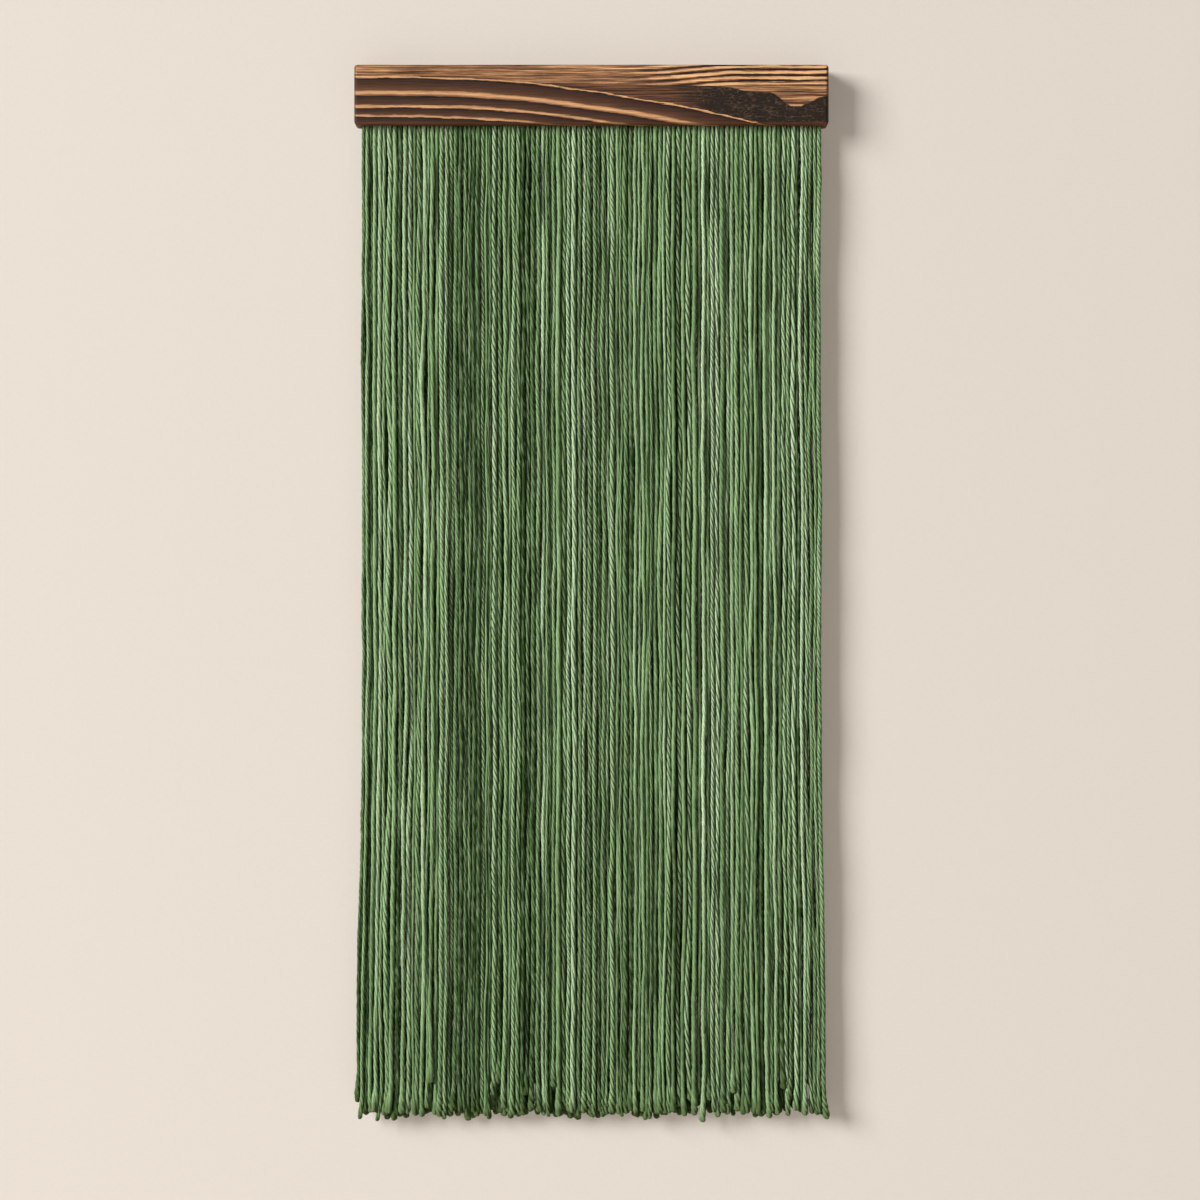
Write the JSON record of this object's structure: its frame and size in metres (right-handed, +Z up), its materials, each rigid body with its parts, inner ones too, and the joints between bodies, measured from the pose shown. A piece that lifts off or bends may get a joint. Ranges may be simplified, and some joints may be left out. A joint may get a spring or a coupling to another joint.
{
  "type": "wall hanging",
  "caption": "Wall hanging: a charred pine bar with a fringe of green twisted cords that hangs free from a clamped heading, on a sawtooth hanger.",
  "frame": {"origin": "the hanging point: the middle notch of the sawtooth hanger, on the wall plane", "axes": "+X to the viewer's right, -Y out of the wall towards the viewer, +Z up; the wall is the plane y = 0"},
  "size_m": [0.3, 0.021, 0.67],
  "materials": {
    "charred_pine": "satin",
    "raw_pine": "matte",
    "green_cord": "matte",
    "cotton_tape": "matte",
    "zinc_steel": "satin",
    "brass_nail": "satin",
    "grey_felt": "matte"
  },
  "bodies": {
    "bar": {"bar": "charred_pine", "clamp_strip": "raw_pine", "heading_tape": "cotton_tape", "front_cord_heads": "green_cord", "rear_cord_heads": "green_cord", "sawtooth_hanger": "zinc_steel", "hanger_nail_left": "brass_nail", "hanger_nail_right": "brass_nail", "bumper_left": "grey_felt", "bumper_right": "grey_felt", "clamp_screw_1": "zinc_steel", "clamp_screw_2": "zinc_steel", "clamp_screw_3": "zinc_steel", "clamp_screw_4": "zinc_steel"},
    "fringe_lock_1": {"fringe_lock_1_front": "green_cord", "fringe_lock_1_rear": "green_cord"},
    "fringe_lock_2": {"fringe_lock_2_front": "green_cord", "fringe_lock_2_rear": "green_cord"},
    "fringe_lock_3": {"fringe_lock_3_front": "green_cord", "fringe_lock_3_rear": "green_cord"},
    "fringe_lock_4": {"fringe_lock_4_front": "green_cord", "fringe_lock_4_rear": "green_cord"},
    "fringe_lock_5": {"fringe_lock_5_front": "green_cord", "fringe_lock_5_rear": "green_cord"}
  },
  "joints": [
    {"name": "fringe_lock_1_swing", "type": "hinge", "parent": "bar", "child": "fringe_lock_1", "pos_m": [-0.1168, -0.0109, -0.028], "axis": [-1, 0, 0], "range_deg": [-0.5, 40]},
    {"name": "fringe_lock_2_swing", "type": "hinge", "parent": "bar", "child": "fringe_lock_2", "pos_m": [-0.0584, -0.0109, -0.028], "axis": [-1, 0, 0], "range_deg": [-0.5, 40]},
    {"name": "fringe_lock_3_swing", "type": "hinge", "parent": "bar", "child": "fringe_lock_3", "pos_m": [0, -0.0109, -0.028], "axis": [-1, 0, 0], "range_deg": [-0.5, 40]},
    {"name": "fringe_lock_4_swing", "type": "hinge", "parent": "bar", "child": "fringe_lock_4", "pos_m": [0.0584, -0.0109, -0.028], "axis": [-1, 0, 0], "range_deg": [-0.5, 40]},
    {"name": "fringe_lock_5_swing", "type": "hinge", "parent": "bar", "child": "fringe_lock_5", "pos_m": [0.1168, -0.0109, -0.028], "axis": [-1, 0, 0], "range_deg": [-0.5, 40]}
  ]
}
